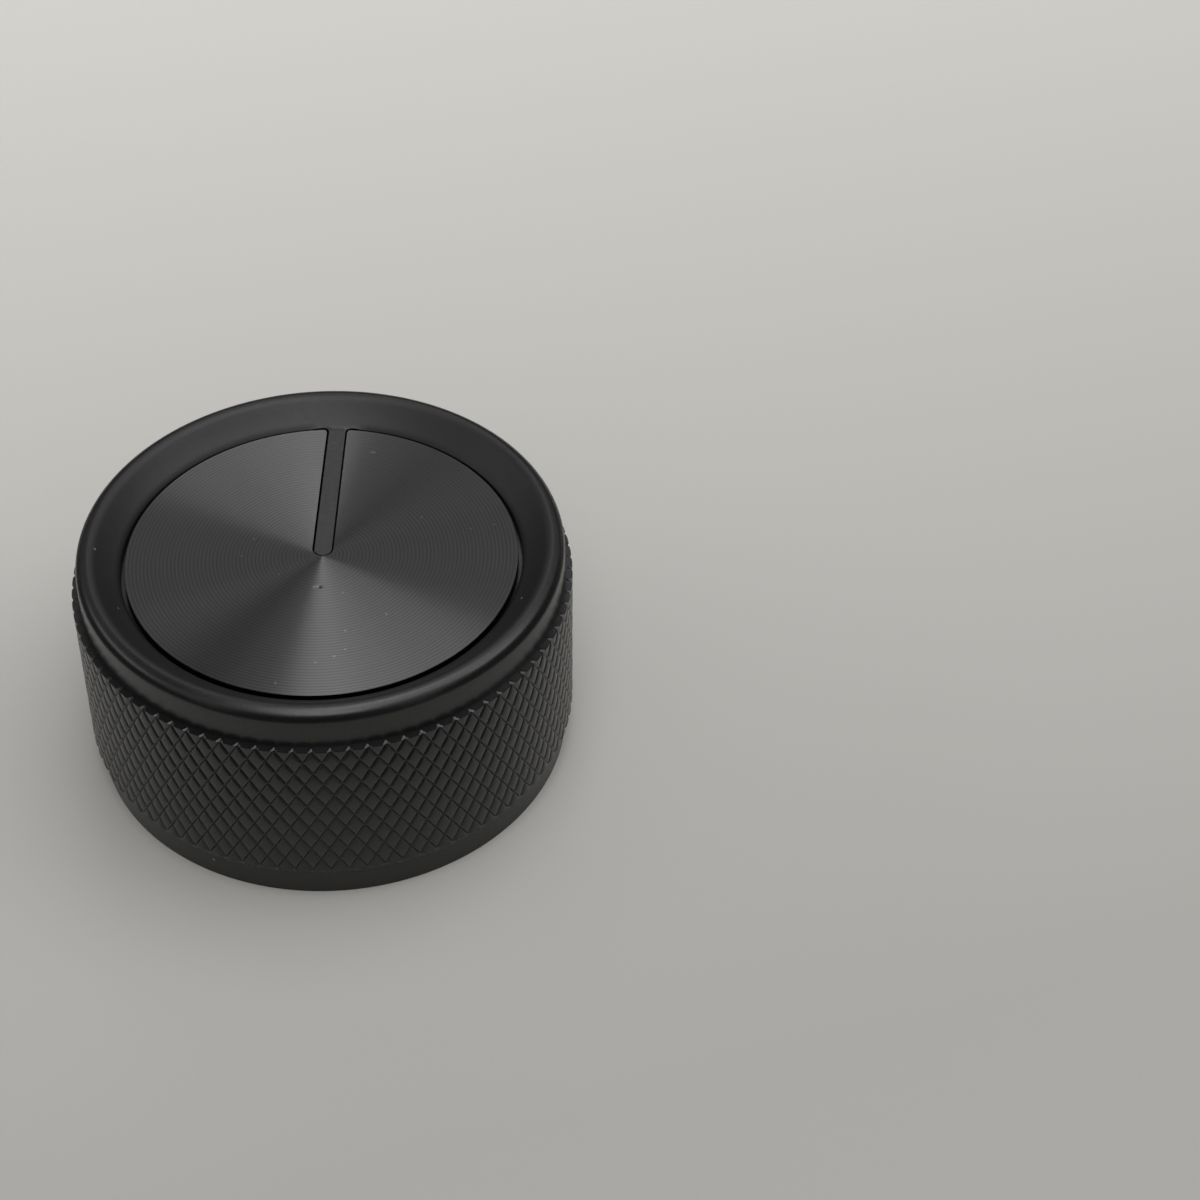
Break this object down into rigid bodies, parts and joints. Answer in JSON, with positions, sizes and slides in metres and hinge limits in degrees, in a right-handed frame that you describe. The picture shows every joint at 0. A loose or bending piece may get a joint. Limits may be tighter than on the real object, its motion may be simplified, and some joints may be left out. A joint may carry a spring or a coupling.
{
  "type": "stove knob",
  "caption": "Round stove knob with a diamond-knurled grip, a dished face with an inlaid disc and a pointer rib, and a rear hub that slides onto a D-shaped stem.",
  "frame": {"origin": "centre of the rear rim's plane, on the knob's axis", "axes": "+Z along the knob's axis from the rear rim to the face, +Y from the axis along the pointer"},
  "size_m": [0.05, 0.05, 0.025],
  "materials": {
    "body_metal": "black anodised, satin",
    "disc_metal": "black anodised over concentric turning lines",
    "hub_plastic": "moulded black nylon, matte",
    "clip_steel": "bright spring steel"
  },
  "bodies": {
    "root": {"knob_body": "body_metal", "face_disc": "disc_metal", "hub_insert": "hub_plastic", "spring_clip": "clip_steel"}
  },
  "joints": []
}
